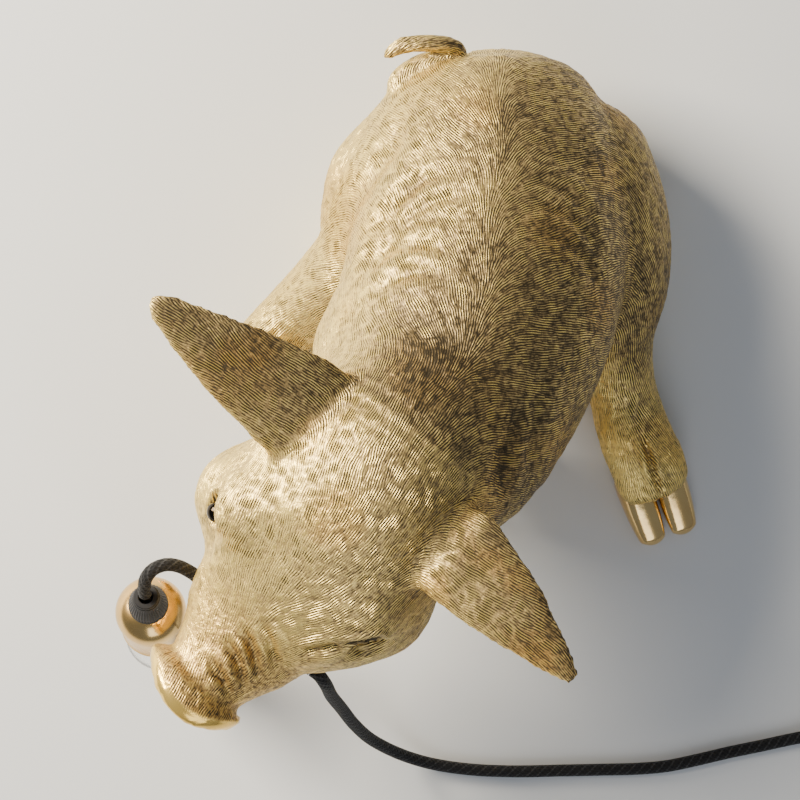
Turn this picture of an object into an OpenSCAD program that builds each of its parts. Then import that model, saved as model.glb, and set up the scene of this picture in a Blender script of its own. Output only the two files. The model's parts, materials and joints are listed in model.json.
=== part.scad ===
// Sitting pig table lamp: hollow cast figure, a lampholder that hangs from a cord held in the mouth.
// Millimetres. +Z is up, the pig faces -Y with its head turned towards -X, and it stands on Z = 0.
// The origin lies under the middle of the figure, at floor level.

/* [Casting] */
// Wall thickness of the hollow torso and head
wall = 8; // [5:1:9]
// Height of the felt pads under the casting
pad_h = 2; // [1:0.5:3]
// Diameter of each felt pad
pad_d = 20; // [14:1:24]
// Diameter of the plug that closes the casting underneath
plug_hole_d = 50; // [30:1:60]

/* [Cord] */
// Outside diameter of the textile cord
cord_d = 6.8; // [6:0.1:7.4]
// Diameter of the channel through the mouth
mouth_bore_d = 7.6; // [7.5:0.1:9]

/* [Lampholder] */
// Outside diameter of the dome
dome_d = 36; // [32:0.5:40]
// Length of the skirt below the dome
skirt_h = 28; // [26:0.5:30]
// Sheet thickness of the dome and the skirt
sheet_t = 1.2; // [0.8:0.1:1.6]
// Tilt of the hanging holder from upright
hang_tilt = 19; // [10:1:24]

/* [Bulb] */
// Largest diameter of the candle bulb
bulb_d = 35; // [30:0.5:36]
// Length of the glass below the cap
bulb_h = 70; // [60:1:72]
// Diameter of the screw cap
cap_d = 13.8; // [13.6:0.1:14]

/* [Switch and plug] */
// Length of the in-line switch
switch_l = 64; // [56:1:70]
// Width of the in-line switch
switch_w = 24; // [20:1:28]
// Height of the in-line switch
switch_h = 16; // [14:1:20]
// Diameter of the plug's front
plug_d = 38; // [36:0.5:40]

/* [Hidden] */
$fn = 48;
sides = 28;
fine = 3;
ez = [0, 0, 1];
ey = [0, 1, 0];
gold = "darkgoldenrod";
brass = "goldenrod";

// Head: its level axis, the poll where it starts and the bore of the mouth across it
head_dir = [-0.628, -0.778, 0];
cross_dir = [0.778, -0.628, 0];
poll = [-19, -47, 0];
mouth = [-76.4, -121.3, 139];
mouth_half = 35;
neck_point = [-10, -41, 150];
neck_normal = [-0.45, -0.65, 0.6];

// Stations of each loft: x, y, z of the centre line, half width, height above, height below
torso_line = [[46, 169, 44, 8, 8, 8], [46, 164, 46, 36, 26, 30], [45, 151, 52, 58, 40, 50],
    [43, 121, 64, 72, 52, 66], [40, 89, 76, 74, 58, 70], [37, 57, 90, 74, 60, 60],
    [30, 25, 106, 70, 60, 62], [19, -5, 120, 64, 59, 60], [6, -29, 132, 59, 55, 56],
    [-8, -47, 140, 51, 46, 48], [-20, -61, 146, 40, 34, 38]];
right_haunch = [[106, 143, 40, 12, 12, 12], [102, 131, 44, 32, 34, 38], [99, 101, 50, 40, 46, 52],
    [100, 67, 50, 39, 46, 52], [104, 41, 44, 32, 38, 46], [111, 19, 34, 23, 27, 35],
    [116, -4, 26, 20, 20, 27], [120, -27, 22, 20, 18, 22], [128, -45, 19, 20.5, 16, 18],
    [132, -57, 17, 19.5, 14, 16], [134, -63, 16, 16, 11, 11]];
left_haunch = [[-8, 147, 38, 12, 12, 12], [-6, 135, 42, 30, 32, 36], [-4, 109, 48, 43, 45, 50],
    [-8, 85, 48, 42, 44, 50], [-22, 63, 42, 33, 36, 44], [-44, 47, 32, 24, 26, 34],
    [-62, 35, 25, 19, 20, 26], [-76, 23, 21, 17, 17, 20], [-86, 14, 19, 16, 15, 17],
    [-90, 10, 18, 13, 12, 13]];
left_foreleg = [[-16, -21, 128, 20, 20, 20], [-20, -27, 108, 26, 30, 30], [-23, -33, 80, 21, 25, 24],
    [-24, -39, 50, 17, 18, 18], [-24, -42, 30, 16, 16, 16], [-24, -43, 20, 16, 16, 16],
    [-24, -44, 15, 13, 13, 13]];
right_foreleg = [[42, -19, 124, 20, 20, 20], [47, -26, 104, 25, 31, 32], [49, -34, 78, 21, 26, 26],
    [48, -40, 50, 18, 18, 18], [47, -43, 30, 16, 16, 16], [47, -44, 20, 16, 16, 16],
    [47, -45, 15, 13, 13, 13]];
tail_line = [[4, 141, 66, 8, 8, 8], [-2, 149, 68, 7, 7, 7], [-3.5, 156, 69, 6.4, 6.4, 6.4],
    [4, 162.5, 69.5, 6, 6, 6], [15, 166.5, 71, 5.4, 5.4, 5.4], [24, 169.5, 75, 4.6, 4.6, 4.6],
    [19, 172.7, 79.5, 4.2, 3.8, 3.8], [7, 173.3, 80.5, 4.6, 3.4, 3.4], [-5, 171.9, 79.5, 4.4, 3, 3],
    [-12.5, 167.5, 78, 3, 2.4, 2.4], [-14.5, 165.5, 77.5, 1.4, 1.4, 1.4]];
// Head stations: distance in front of the poll, centre height, half width, height above, below
head_profile = [[-40, 146, 40, 40, 44], [-20, 154, 52, 48, 54], [0, 158, 58, 50, 58],
    [25, 158, 60, 46, 60], [48, 155, 59, 40, 56], [66, 152, 53, 34, 50], [84, 150, 42, 28, 38],
    [102, 148, 33, 24, 30], [120, 148, 26, 22, 24], [132, 149, 24.5, 22, 22], [139, 150, 28, 25, 24],
    [145, 150, 28.5, 26, 25], [148, 150, 24, 22, 21]];
// Ears: x, y, z of the centre line, half width, thickness above, thickness below
left_ear_line = [[-36, -25, 180, 22, 8, 8], [-52, -15, 189, 26, 7, 7], [-70, -2, 195, 22.5, 5, 5],
    [-88, 10.5, 199, 18, 4, 4], [-104, 22.5, 202, 12, 3, 3], [-115, 31, 204, 7.5, 3, 3],
    [-120, 35, 205, 3.5, 2, 2]];
right_ear_line = [[8, -71, 180, 20, 8, 8], [21, -83.5, 189, 23.5, 7, 7], [33, -96, 194, 21, 5, 5],
    [45, -108, 197, 18, 4, 4], [57, -121, 199, 12.5, 3, 3], [68, -133, 200, 7.5, 3, 3],
    [74, -139.5, 200, 3.5, 2, 2]];
eye_left_at = [-95, -63, 164];
eye_right_at = [-23, -124, 166];
eye_r = 6;
claw_r = 9.6;
toe_r = 6;
base_plug_at = [42, 91];
pad_spots = [[-6, 101], [96, 91], [42, 133], [119, -21], [-60, 37], [-25, -41], [48, -42]];
// Feet in plan: where the claws start between them, and where they end
feet = [[[130, -57], [139.8, -84]], [[-86, 13], [-99, 1]], [[-25, -43], [-27, -61]],
    [[47, -44], [50, -61]]];
// Larger than the figure in every direction
vast = 600;

// Hanging holder: middle of the dome's widest ring, and the way its axis leans
holder_at = [-132.5, -118.5, 102];
lean_azimuth = 85;
grip_base = 14.5;
grip_top = 32;
cap_top = -8;
glass_top = -26;
glass_t = 0.8;
stem_end = glass_top - 14;
dome_h = 14;
nipple_r = 5;
nut_h = 2.5;
grip_screw_l = 5.5;
shell_r = cap_d / 2 + 0.6;

// Routes of the cord's stretches, mouth to plug
cord_r = cord_d / 2;
floor_z = 3.5;
pendant_route = [[-105, -98.2, 139], [-108.5, -95.4, 140.5], [-114, -92.2, 144], [-120, -91.2, 147],
    [-126, -93.4, 147.5], [-130, -98, 144.5], [-131.4, -103.2, 139.5], [-131.7, -106.6, 134.5]];
lead_route = [[-48.9, -143.6, 139], [-45.6, -146.2, 138.8], [-42.5, -152, 131], [-40.5, -160, 111],
    [-36, -170, 86], [-30, -182, 61], [-21, -194, 36], [-6, -205, 15], [12, -212, 5.5],
    [34, -215.5, floor_z], [58, -216.5, floor_z], [83, -216, floor_z], [108, -215.5, floor_z],
    [126, -215, floor_z], [142, -213.5, floor_z], [159, -210, floor_z], [176, -206, floor_z],
    [193, -202.5, floor_z], [209, -199, floor_z], [221, -196.4, 5], [229.4, -194.6, 7]];
switch_at = [261, -188, 0];
switch_angle = 12;
inlet_z = 7;
split_z = 8;
switch_room = [46, 18];
switch_screw_x = 26;
switch_screw_y = 6;
rocker_l = 20;
rocker_w = 11;
rocker_pivot = 13;
coil_at = [321, -127];
coil_outer = 47;
coil_gap = 7.2;
coil_in = 2.7;
coil_rise = 0.3;
coil_out = 2.4;
coil_enter = -78;
coil_step = 15;
coil_top_z = 10.4;
run_route = [[292.5, -181.4, 7], [302, -179.4, 5], [316, -176.2, floor_z], [330.6, -173.2, floor_z]];
end_route = [[340.2, -84, coil_top_z], [328, -78, 9], [315, -69.5, 5.5], [305.5, -59, 5.5],
    [300, -49, 10], [298.2, -40, 16], [298, -30, 19], [298, -20, 19]];
plug_at = [298, -29, 19];
plug_relief_l = 30;
plug_body_l = 38;
pin_l = 19;
pin_gap = 19;

function unit(v) = v / norm(v);
function head_at(d, z) = poll + head_dir * d + [0, 0, z];
head_line = [for (h = head_profile) concat(head_at(h[0], h[1]), [h[2], h[3], h[4]])];

// Catmull-Rom curve through the rows of a list
function row(s, i) = s[min(max(i, 0), len(s) - 1)];
function curve(a, b, c, d, t) = 0.5 * (2 * b + (c - a) * t + (2 * a - 5 * b + 4 * c - d) * t * t
    + (3 * b - a - 3 * c + d) * t * t * t);
function along(s, u) = let (i = min(floor(u), len(s) - 2))
    curve(row(s, i - 1), row(s, i), row(s, i + 1), row(s, i + 2), u - i);
function place(s) = [s[0], s[1], s[2]];
function heading(s, u) = unit(place(along(s, min(u + 0.05, len(s) - 1)))
    - place(along(s, max(u - 0.05, 0))));

// One oval section of a loft, square to its centre line
function oval(s, u, hint, n) = let (q = along(s, u), t = heading(s, u), side = unit(cross(t, hint)),
    up = cross(side, t)) [for (k = [0 : n - 1]) let (a = 360 * k / n)
    place(q) + side * q[3] * cos(a) + up * (sin(a) > 0 ? q[4] : q[5]) * sin(a)];

// Faces of a closed tube of m rings of n points
function tube_faces(m, n) = concat([[for (k = [n - 1 : -1 : 0]) k]],
    [for (i = [0 : m - 2], k = [0 : n - 1]) [i * n + k, i * n + (k + 1) % n, (i + 1) * n + (k + 1) % n]],
    [for (i = [0 : m - 2], k = [0 : n - 1]) [i * n + k, (i + 1) * n + (k + 1) % n, (i + 1) * n + k]],
    [[for (k = [0 : n - 1]) (m - 1) * n + k]]);

module loft(s, hint = ez, n = sides, per = fine) {
    m = (len(s) - 1) * per + 1;
    polyhedron([for (i = [0 : m - 1]) each oval(s, i / per, hint, n)], tube_faces(m, n));
}

// The same loft, smaller by a wall thickness, without its end stations
function inner(s, w, from, to) = [for (i = [from : to]) let (q = s[i])
    [q[0], q[1], q[2], q[3] - w, q[4] - w, q[5] - w]];

// Round cord along a route, its rings turned as little as possible
function step_normal(p, i, v) = let (t = unit(p[min(i + 1, len(p) - 1)] - p[max(i - 1, 0)]))
    unit(v - t * (t * v));
module cord_tube(route, per = 2, n = 10) {
    m = (len(route) - 1) * per + 1;
    p = [for (i = [0 : m - 1]) along(route, i / per)];
    v = [for (i = 0, w = step_normal(p, 0, [0.31, 0.2, 0.93]); i < m;
        i = i + 1, w = i < m ? step_normal(p, i, w) : w) w];
    polyhedron([for (i = [0 : m - 1]) let (t = unit(p[min(i + 1, m - 1)] - p[max(i - 1, 0)]),
        b = cross(v[i], t)) each [for (k = [0 : n - 1])
        p[i] + cord_r * (v[i] * cos(360 * k / n) + b * sin(360 * k / n))]], tube_faces(m, n));
}

// Space in front of the neck joint
module neck_side(front) {
    tilt = acos(unit(neck_normal)[2]);
    turn = atan2(neck_normal[1], neck_normal[0]);
    translate(neck_point) rotate([0, tilt, turn]) translate([0, 0, (front ? 1 : -1) * vast / 2])
        cube(vast, center = true);
}

module above_floor() { translate([-vast / 2, -vast / 2, pad_h]) cube(vast); }

// Whole figure without ears and tail
module figure() {
    intersection() {
        union() {
            loft(torso_line);
            loft(head_line);
            loft(right_haunch);
            loft(left_haunch);
            loft(left_foreleg, ey, 20);
            loft(right_foreleg, ey, 20);
        }
        above_floor();
    }
}

module cavity() {
    intersection() {
        union() {
            loft(inner(torso_line, wall, 2, 9), ez, 20, 1);
            loft(inner(head_line, wall, 1, 5), ez, 20, 1);
        }
        translate([0, 0, wall]) above_floor();
    }
}

module base_hole(r, h) { translate([base_plug_at[0], base_plug_at[1], pad_h]) cylinder(r = r, h = h); }

// Channel for the cord, wider at the corners of the mouth
module mouth_bore() {
    translate(mouth) rotate([0, 90, atan2(cross_dir[1], cross_dir[0])]) {
        cylinder(d = mouth_bore_d, h = 4 * mouth_half, center = true);
        for (s = [-1, 1]) translate([0, 0, s * (mouth_half + 20)])
            cylinder(d = mouth_bore_d + 3, h = 44, center = true);
    }
}

module torso_casting() {
    color(gold) difference() {
        figure();
        neck_side(true);
        cavity();
        base_hole(plug_hole_d / 2, 3 * wall);
        hooves_space();
    }
}

module head_casting() {
    color(gold) difference() {
        figure();
        neck_side(false);
        cavity();
        mouth_bore();
    }
}

module ear(s) { color(gold) difference() { loft(s, ez, 20); loft(head_line); loft(torso_line); } }
module ear_left() { ear(left_ear_line); }
module ear_right() { ear(right_ear_line); }
module tail() { color(gold) difference() { loft(tail_line, ez, 16); loft(torso_line); loft(left_haunch); } }
module eye(c) { color("black") difference() { translate(c) sphere(r = eye_r); loft(head_line); } }
module eye_left() { eye(eye_left_at); }
module eye_right() { eye(eye_right_at); }

// One claw of a foot, which has two side by side
module claw(c, side) {
    root = concat(c[0], 0);
    tip = concat(c[1], 0);
    way = unit(tip - root);
    across = [way[1], -way[0], 0] * side * claw_r;
    hull() {
        translate(root + across + ez * (claw_r + 4)) sphere(r = claw_r, $fn = 16);
        translate(root + across + ez * claw_r + way * 4) sphere(r = claw_r, $fn = 16);
        translate(tip + across * 0.85 + ez * (toe_r + pad_h) - way * toe_r) sphere(r = toe_r, $fn = 16);
    }
}
module foot(c) { intersection() { union() { claw(c, 1); claw(c, -1); } above_floor(); } }
module hooves_space() { for (c = feet) foot(c); }
module hoof_hind_right() { color(brass) foot(feet[0]); }
module hoof_hind_left() { color(brass) foot(feet[1]); }
module hoof_front_left() { color(brass) foot(feet[2]); }
module hoof_front_right() { color(brass) foot(feet[3]); }

module base_plug() { color("black") base_hole(plug_hole_d / 2 - 0.1, 4); }
module felt_pads() { color("saddlebrown") for (p = pad_spots) translate(p) cylinder(d = pad_d, h = pad_h); }

module cord_mouth() {
    color("dimgray") translate(mouth) rotate([0, 90, atan2(cross_dir[1], cross_dir[0])])
        cylinder(d = cord_d, h = 2 * mouth_half, center = true);
}
module cord_pendant() { color("dimgray") cord_tube(pendant_route, 3); }

// Everything on the hanging holder is drawn about its own upright axis, Z = 0 at the widest ring
module hanging() { translate(holder_at) rotate([0, hang_tilt, lean_azimuth]) children(); }

module turned(c, outline) { color(c) hanging() rotate_extrude() polygon(outline); }

module cord_grip() {
    top = 6.2;
    base = 10;
    color("black") hanging() difference() {
        rotate_extrude() polygon([[cord_r + 0.1, grip_base], [base, grip_base],
            [base, grip_base + 4], [top + 1.6, grip_base + 10], [top, grip_top - 1],
            [top - 0.8, grip_top], [cord_r + 0.1, grip_top]]);
        translate([0, 0, grip_base + 2]) rotate([0, 90, 0]) cylinder(d = 3, h = 12);
    }
}
module cord_grip_screw() {
    color("silver") hanging() translate([cord_r + 0.2, 0, grip_base + 2]) rotate([0, 90, 0])
        cylinder(d = 2.9, h = grip_screw_l);
}
module threaded_nipple() {
    turned(brass, [[cord_r + 0.1, dome_h - 8], [nipple_r, dome_h - 8], [nipple_r, grip_base],
        [cord_r + 0.1, grip_base]]);
}
module nipple_nut() {
    color(brass) hanging() difference() {
        translate([0, 0, dome_h - sheet_t - nut_h - 0.9]) cylinder(d = 15, h = nut_h, $fn = 6);
        cylinder(r = nipple_r, h = dome_h);
    }
}
// Dome: a quarter round from the widest ring up to a flat around the nipple
module holder_dome() {
    r = dome_d / 2;
    outside = [for (a = [0 : 6 : 72]) [r * cos(a), dome_h * sin(a) / sin(72)]];
    inside = [for (a = [72 : -6 : 0]) [(r - sheet_t) * cos(a), (dome_h - sheet_t) * sin(a) / sin(72)]];
    hole_r = nipple_r + 0.1;
    turned(brass, concat(outside, [[hole_r, dome_h], [hole_r, dome_h - sheet_t]], inside));
}
module holder_skirt() {
    r = dome_d / 2 - 0.4;
    turned(brass, [[r - sheet_t, -0.1], [r, -0.1], [r - 0.6, -skirt_h + 3], [r, -skirt_h + 1.5],
        [r - 0.3, -skirt_h], [r - sheet_t, -skirt_h], [r - sheet_t - 0.6, -skirt_h + 3]]);
}
module socket_insulator() {
    turned("white", [[shell_r + 0.7, -skirt_h + 5], [dome_d / 2 - 3, -skirt_h + 5],
        [dome_d / 2 - 3, -1], [0, -1], [0, -2.5], [shell_r + 0.7, -2.5]]);
}
module socket_thread_shell() {
    turned(brass, [[shell_r, -skirt_h + 6], [shell_r + 0.7, -skirt_h + 6], [shell_r + 0.7, -4],
        [shell_r, -4]]);
}
module centre_contact() { color(brass) hanging() translate([0, 0, -3.9]) cylinder(d = 6, h = 1.4); }
module terminal_screws() {
    color("silver") hanging() for (a = [30, 150, 270]) rotate(a) translate([9, 0, -1]) {
        cylinder(d = 3, h = 3);
        translate([0, 0, 3]) cylinder(d = 5, h = 1.6);
    }
}

// Candle bulb: cap, glass and the filaments on their stem
function glass_r(f) = bulb_d / 2 * (f < 0.4 ? 0.44 + 0.56 * sin(f / 0.4 * 90)
    : cos((f - 0.4) / 0.6 * 90) ^ 0.72);
module bulb_glass() {
    steps = 20;
    outside = [for (i = [0 : steps - 1]) [glass_r(i / steps), glass_top - bulb_h * i / steps]];
    inside = [for (i = [steps - 1 : -1 : 0]) [max(glass_r(i / steps) - glass_t, 0.4),
        glass_top - (bulb_h - 1) * i / steps]];
    turned("white", concat(outside, [[0, glass_top - bulb_h], [0, glass_top - bulb_h + 1.5]], inside));
}
module bulb_base_shell() {
    turned(brass, [[0, cap_top - 1], [0, cap_top], [cap_d / 2 - 1, cap_top], [cap_d / 2, cap_top - 1.5],
        [cap_d / 2, glass_top], [cap_d / 2 - 0.5, glass_top], [cap_d / 2 - 0.5, cap_top - 1]]);
}
module bulb_insulator() { turned("black", [[0, cap_top], [5, cap_top], [3.2, cap_top + 2], [0, cap_top + 2]]); }
module bulb_tip_contact() { turned("silver", [[0, cap_top + 2], [2.4, cap_top + 2], [1.6, cap_top + 3.2],
    [0, cap_top + 3.2]]); }
module bulb_stem() {
    turned("white", [[0, cap_top - 2], [3, cap_top - 2], [3, glass_top], [2, glass_top - 6], [2, stem_end],
        [0, stem_end]]);
}
module bulb_filaments() {
    color("gold") hanging() for (a = [0 : 90 : 270]) rotate(a) translate([4.5, 0, stem_end - 26])
        cylinder(d = 1.6, h = 30, $fn = 16);
}

module cord_lead() { color("dimgray") cord_tube(lead_route); }
module cord_run() { color("dimgray") cord_tube(run_route); }
module cord_end() { color("dimgray") cord_tube(end_route); }

// Coiled spare cord: a flat spiral winding in, one step up, and a second spiral winding out on top
module cord_coil() {
    least = coil_outer - coil_gap * coil_in;
    turns = coil_in + coil_rise + coil_out;
    function coil_r(t) = t < coil_in ? coil_outer - coil_gap * t
        : least + (coil_outer - least) / coil_out * max(t - coil_in - coil_rise, 0);
    function rise(t) = min(max((t - coil_in) / coil_rise, 0), 1);
    path = [for (a = [0 : coil_step : 360 * turns]) let (t = a / 360)
        [coil_at[0] + coil_r(t) * cos(a + coil_enter), coil_at[1] + coil_r(t) * sin(a + coil_enter),
        floor_z + (coil_top_z - floor_z) * rise(t)]];
    color("dimgray") cord_tube(path, 1, 8);
}

// In-line switch, drawn along X about its own middle
module in_line() { translate(switch_at) rotate(switch_angle) children(); }
module lozenge(l, w) {
    e = w / 2;
    hull() { for (s = [-1, 1]) translate([s * (l / 2 - e), 0]) circle(r = e, $fn = 32); }
}
module cord_way() { translate([0, 0, inlet_z]) rotate([0, 90, 0]) cylinder(d = cord_d, h = 100, center = true); }
module switch_shell(z0, z1, room) {
    color("black") in_line() difference() {
        translate([0, 0, z0]) linear_extrude(z1 - z0) lozenge(switch_l, switch_w);
        translate([0, 0, room[0]]) linear_extrude(room[1] - room[0]) square(switch_room, center = true);
        cord_way();
        for (s = [-1, 1]) translate([s * switch_screw_x, switch_screw_y, 0]) {
            translate([0, 0, 2]) cylinder(d = 3, h = 30);
            translate([0, 0, -1]) cylinder(d = 5, h = 3);
        }
    }
}
module switch_lower_shell() { switch_shell(0, split_z, [2, split_z + 1]); }
module switch_upper_shell() {
    difference() {
        switch_shell(split_z, switch_h, [split_z - 1, switch_h - 2]);
        in_line() translate([0, 0, switch_h]) cube([rocker_l + 1.4, rocker_w + 0.8, 8], center = true);
    }
}
// Rocker: a wide shallow V on a cross pin
module switch_rocker() {
    color("black") in_line() translate([0, 0, rocker_pivot]) {
        rotate([90, 0, 0]) linear_extrude(rocker_w, center = true)
            polygon([[-rocker_l / 2, 1], [-rocker_l / 2, 5.4], [0, 4], [rocker_l / 2, 5.4],
                [rocker_l / 2, 1], [2, -2.5], [-2, -2.5]]);
        rotate([90, 0, 0]) cylinder(d = 2, h = rocker_w + 3, center = true);
    }
}
module switch_contacts() {
    color(brass) in_line() for (s = [-1, 1]) translate([s * 15, 0, 3]) cube([10, 5, 2], center = true);
}
module switch_screws() {
    color("silver") in_line() for (s = [-1, 1]) translate([s * switch_screw_x, switch_screw_y, 0.4]) {
        cylinder(d = 4.8, h = 1.6);
        cylinder(d = 2.8, h = 11);
    }
}

// Two-pin plug with side earth clips, drawn along +Y
module plugged() { translate(plug_at) rotate([-90, 0, 0]) children(); }
module plug_relief() {
    color("black") plugged() difference() {
        rotate_extrude() polygon([[0, 0], [5.2, 0], [8, plug_relief_l], [0, plug_relief_l]]);
        translate([0, 0, -1]) cylinder(d = cord_d + 0.8, h = 12);
    }
}
module plug_body() {
    r = plug_d / 2;
    back = plug_relief_l;
    front = back + plug_body_l;
    color("black") plugged() difference() {
        rotate_extrude() polygon([[0, back], [10, back], [13, back + 8], [15, back + 16], [r - 0.5, back + 18],
            [r, back + 20], [r, front - 1], [r - 1, front], [0, front]]);
        for (s = [-1, 1]) translate([s * pin_gap / 2, 0, front - 10]) cylinder(d = 4.8, h = 20);
        for (s = [-1, 1]) translate([0, s * (r + 1), front - 8]) cube([6, 8, 17], center = true);
    }
}
module plug_pins() {
    color("silver") plugged() for (s = [-1, 1])
        translate([s * pin_gap / 2, 0, plug_relief_l + plug_body_l - 10]) cylinder(d = 4.8, h = pin_l + 10);
}
module plug_earth_clips() {
    clip_r = plug_d / 2 - 3;
    color(brass) plugged() for (s = [-1, 1]) translate([0, s * (clip_r + 0.6), plug_relief_l + plug_body_l - 8])
        cube([4, 1.2, 14], center = true);
}

torso_casting();
head_casting();
ear_left();
ear_right();
tail();
eye_left();
eye_right();
hoof_hind_left();
hoof_hind_right();
hoof_front_left();
hoof_front_right();
base_plug();
felt_pads();
cord_mouth();
cord_pendant();
cord_grip();
cord_grip_screw();
threaded_nipple();
nipple_nut();
holder_dome();
holder_skirt();
socket_insulator();
socket_thread_shell();
centre_contact();
terminal_screws();
bulb_glass();
bulb_base_shell();
bulb_insulator();
bulb_tip_contact();
bulb_stem();
bulb_filaments();
cord_lead();
switch_lower_shell();
switch_upper_shell();
switch_rocker();
switch_contacts();
switch_screws();
cord_run();
cord_coil();
cord_end();
plug_relief();
plug_body();
plug_pins();
plug_earth_clips();
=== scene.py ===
"""Sitting pig table lamp: antique gold casting, hanging candle bulb, textile cord.

Lengths are millimetres in this file until they reach a mesh, which is in metres.
"""
import json
import math
import bmesh
import bpy
import numpy as np
import openvdb
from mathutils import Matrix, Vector


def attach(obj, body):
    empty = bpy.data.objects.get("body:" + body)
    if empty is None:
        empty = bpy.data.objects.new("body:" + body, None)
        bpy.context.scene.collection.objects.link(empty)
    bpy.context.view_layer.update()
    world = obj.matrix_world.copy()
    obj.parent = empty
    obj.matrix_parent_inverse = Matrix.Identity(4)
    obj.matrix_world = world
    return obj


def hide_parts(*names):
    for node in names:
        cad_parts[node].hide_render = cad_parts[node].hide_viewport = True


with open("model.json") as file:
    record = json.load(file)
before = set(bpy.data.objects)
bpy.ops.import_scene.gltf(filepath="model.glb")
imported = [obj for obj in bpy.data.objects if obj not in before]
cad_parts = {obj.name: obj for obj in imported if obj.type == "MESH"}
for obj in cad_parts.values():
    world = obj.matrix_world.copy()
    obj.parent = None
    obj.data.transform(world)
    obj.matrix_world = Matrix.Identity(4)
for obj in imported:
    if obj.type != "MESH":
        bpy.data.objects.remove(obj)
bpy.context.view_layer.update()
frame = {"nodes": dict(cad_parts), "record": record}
MM = 0.001


# ---------------------------------------------------------------- camera
def add_camera():
    """Straight above the figure, its top edge towards +Y."""
    data = bpy.data.cameras.new("camera")
    data.sensor_width = 36.0
    data.lens = 97.3
    data.clip_end = 20.0
    camera = bpy.data.objects.new("camera", data)
    camera.location = (-0.006, -0.011, 1.2)
    bpy.context.scene.collection.objects.link(camera)
    bpy.context.scene.camera = camera


# ---------------------------------------------------------------- curves through points
def unit(v):
    return v / np.maximum(np.linalg.norm(v, axis=-1, keepdims=True), 1e-9)


def ramp(x, low, high):
    t = np.clip((x - low) / (high - low), 0, 1)
    return t * t * (3 - 2 * t)


def catmull(rows, per):
    """The Catmull-Rom curve through the rows, per steps between each two."""
    rows = np.asarray(rows, float)
    count = len(rows)
    u = np.linspace(0, count - 1, (count - 1) * per + 1)
    i = np.minimum(u.astype(int), count - 2)
    t = (u - i)[:, None]
    a, b, c, d = (rows[np.clip(i + k, 0, count - 1)] for k in (-1, 0, 1, 2))
    return 0.5 * (2 * b + (c - a) * t + (2 * a - 5 * b + 4 * c - d) * t ** 2
                  + (3 * b - a - 3 * c + d) * t ** 3)


def evenly(path, gap):
    """The same path with points about gap apart."""
    steps = np.linalg.norm(np.diff(path, axis=0), axis=1)
    s = np.concatenate([[0], np.cumsum(steps)])
    n = max(2, int(round(s[-1] / gap)) + 1)
    at = np.linspace(0, s[-1], n)
    return np.stack([np.interp(at, s, path[:, k]) for k in range(3)], axis=1)


def make_object(name, points, faces, smooth=True):
    """A mesh object from points in millimetres."""
    mesh = bpy.data.meshes.new(name)
    points = np.asarray(points, np.float32) * MM
    if isinstance(faces, np.ndarray) and faces.ndim == 2:
        n, k = faces.shape
        mesh.vertices.add(len(points))
        mesh.vertices.foreach_set("co", points.ravel())
        mesh.loops.add(n * k)
        mesh.loops.foreach_set("vertex_index", faces.ravel().astype(np.int32))
        mesh.polygons.add(n)
        mesh.polygons.foreach_set("loop_start", np.arange(0, n * k, k, dtype=np.int32))
        mesh.update(calc_edges=True)
    else:
        mesh.from_pydata(points.tolist(), [], [list(map(int, f)) for f in faces])
    mesh.polygons.foreach_set("use_smooth", [smooth] * len(mesh.polygons))
    obj = bpy.data.objects.new(name, mesh)
    bpy.context.scene.collection.objects.link(obj)
    return obj


def add_attribute(obj, name, values, kind="FLOAT"):
    data = obj.data.attributes.new(name, kind, "POINT").data
    key = "value" if kind == "FLOAT" else "vector"
    data.foreach_set(key, np.asarray(values, np.float32).ravel())


# ---------------------------------------------------------------- cord
CORD_D = 6.8
CORD_R = CORD_D / 2
FLOOR_Z = 3.5
COIL_TOP_Z = 10.4
PENDANT_ROUTE = [(-105, -98.2, 139), (-108.5, -95.4, 140.5), (-114, -92.2, 144), (-120, -91.2, 147),
                 (-126, -93.4, 147.5), (-130, -98, 144.5), (-131.4, -103.2, 139.5), (-131.7, -106.6, 134.5)]
LEAD_ROUTE = [(-48.9, -143.6, 139), (-45.6, -146.2, 138.8), (-42.5, -152, 131), (-40.5, -160, 111),
              (-36, -170, 86), (-30, -182, 61), (-21, -194, 36), (-6, -205, 15), (12, -212, 5.5),
              (34, -215.5, FLOOR_Z), (58, -216.5, FLOOR_Z), (83, -216, FLOOR_Z), (108, -215.5, FLOOR_Z),
              (126, -215, FLOOR_Z), (142, -213.5, FLOOR_Z), (159, -210, FLOOR_Z), (176, -206, FLOOR_Z),
              (193, -202.5, FLOOR_Z), (209, -199, FLOOR_Z), (221, -196.4, 5), (229.4, -194.6, 7)]
RUN_ROUTE = [(292.5, -181.4, 7), (302, -179.4, 5), (316, -176.2, FLOOR_Z), (330.6, -173.2, FLOOR_Z)]
END_ROUTE = [(340.2, -84, COIL_TOP_Z), (328, -78, 9), (315, -69.5, 5.5), (305.5, -59, 5.5),
             (300, -49, 10), (298.2, -40, 16), (298, -30, 19), (298, -20, 19)]
COIL_AT = (321.0, -127.0)
COIL_OUTER = 47.0
COIL_PITCH = 7.2
COIL_IN_TURNS = 2.7
COIL_RISE_TURNS = 0.3
COIL_OUT_TURNS = 2.4
COIL_ENTER = -78.0


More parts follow.
